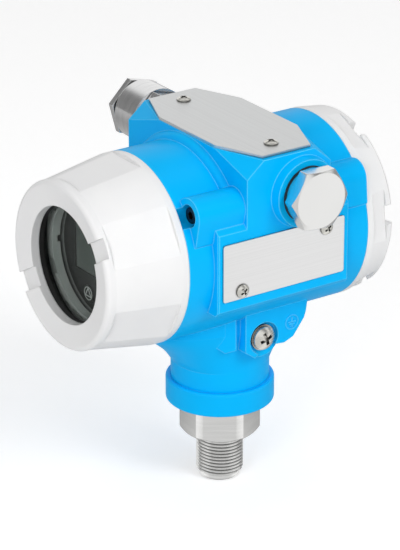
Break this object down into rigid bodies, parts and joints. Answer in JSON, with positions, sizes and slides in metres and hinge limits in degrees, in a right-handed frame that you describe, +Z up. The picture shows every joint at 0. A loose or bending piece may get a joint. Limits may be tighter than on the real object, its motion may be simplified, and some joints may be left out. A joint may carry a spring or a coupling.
{
  "type": "pressure transmitter",
  "caption": "Two-compartment field head with a windowed display cover, blind rear cover, cable gland, conduit plug and a threaded process connection on a swivel neck.",
  "frame": {"origin": "centre of the hexagon's lower face, the shoulder above the process thread, on the stem axis", "axes": "+Z up along the stem, -Y towards the display cover, +X towards the conduit plug, -X towards the cable gland"},
  "size_m": [0.1347, 0.1385, 0.1596],
  "materials": {
    "housing_paint": "smooth sky-blue powder coat on die-cast aluminium",
    "cover_paint": "smooth grey-white powder coat on die-cast aluminium",
    "stainless": "turned stainless steel",
    "screw_steel": "bright stainless screws",
    "nickel_brass": "nickel-plated brass, satin",
    "plate_steel": "fine brushed sheet, bare",
    "aluminium_turned": "turned aluminium",
    "window_glass": "clear tempered glass",
    "rubber_black": "matt black elastomer",
    "plastic_black": "black moulded plastic",
    "lcd_panel": "unlit grey-green liquid crystal panel",
    "board_green": "green solder mask",
    "key_grey": "grey push keys",
    "terminal_green": "dark moulded terminal block"
  },
  "bodies": {
    "sensor": {"process_connection": "stainless", "pressure_sensor": "stainless", "isolating_diaphragm": "stainless", "sensor_seal": "rubber_black", "sensor_clamp_ring": "stainless", "sensor_board": "board_green", "collar": "housing_paint", "neck_seal": "rubber_black"},
    "head": {"housing": "housing_paint", "neck_set_screw": "screw_steel", "cover_lock_screws": "screw_steel", "display_housing": "plastic_black", "display_fascia": "plastic_black", "lcd_screen": "lcd_panel", "display_board": "board_green", "electronics_module": "plastic_black", "module_screws": "screw_steel", "bulkhead_feedthrough": "plastic_black", "terminal_block": "terminal_green", "terminal_clamps": "nickel_brass", "terminal_screws": "nickel_brass", "terminal_block_screws": "screw_steel", "inner_earth_screw": "screw_steel", "top_plate": "plate_steel", "top_plate_screws": "screw_steel", "side_plate": "plate_steel", "side_plate_screws": "screw_steel", "plug_seal": "rubber_black", "conduit_plug": "nickel_brass", "gland_seal": "rubber_black", "gland_body": "nickel_brass", "gland_bush": "rubber_black", "earth_washer": "screw_steel", "earth_screw": "screw_steel"},
    "front_seal": {"front_cover_seal": "rubber_black"},
    "front_cover": {"front_cover": "cover_paint", "window_glass": "window_glass", "window_gasket": "rubber_black", "window_retaining_ring": "aluminium_turned"},
    "rear_seal": {"rear_cover_seal": "rubber_black"},
    "rear_cover": {"rear_cover": "cover_paint"},
    "gland_washer": {"gland_washer": "nickel_brass"},
    "gland_nut": {"gland_nut": "nickel_brass"},
    "key_left": {"key_left": "key_grey"},
    "key_right": {"key_right": "key_grey"}
  },
  "joints": [
    {"name": "head_swivel", "type": "hinge", "parent": "sensor", "child": "head", "pos_m": [0, 0, 0.0339], "axis": [0, 0, 1], "range_deg": [-180, 180]},
    {"name": "front_cover_travel", "type": "slide", "parent": "head", "child": "front_seal", "axis": [0, -1, 0], "range_m": [0, 0.009]},
    {"name": "front_cover_turn", "type": "hinge", "parent": "front_seal", "child": "front_cover", "pos_m": [0, -0.0425, 0.0924], "axis": [0, -1, 0], "range_deg": [0, 2160]},
    {"name": "rear_cover_travel", "type": "slide", "parent": "head", "child": "rear_seal", "axis": [0, 1, 0], "range_m": [0, 0.009]},
    {"name": "rear_cover_turn", "type": "hinge", "parent": "rear_seal", "child": "rear_cover", "pos_m": [0, 0.0461, 0.0924], "axis": [0, 1, 0], "range_deg": [0, 2160]},
    {"name": "gland_nut_travel", "type": "slide", "parent": "head", "child": "gland_washer", "axis": [-1, 0, 0], "range_m": [0, 0.003]},
    {"name": "gland_nut_turn", "type": "hinge", "parent": "gland_washer", "child": "gland_nut", "pos_m": [-0.0675, 0.01, 0.1191], "axis": [-1, 0, 0], "range_deg": [0, 720]},
    {"name": "key_left_press", "type": "slide", "parent": "head", "child": "key_left", "axis": [0, 1, 0], "range_m": [0, 0.0005], "stiffness_N_per_m": 400, "springref_m": -0.0005},
    {"name": "key_right_press", "type": "slide", "parent": "head", "child": "key_right", "axis": [0, 1, 0], "range_m": [0, 0.0005], "stiffness_N_per_m": 400, "springref_m": -0.0005}
  ],
  "couplings": [
    {"joint": "front_cover_travel", "follows": "front_cover_turn", "m_per_rad": 0.00023873},
    {"joint": "rear_cover_travel", "follows": "rear_cover_turn", "m_per_rad": 0.00023873},
    {"joint": "gland_nut_travel", "follows": "gland_nut_turn", "m_per_rad": 0.00023873}
  ]
}
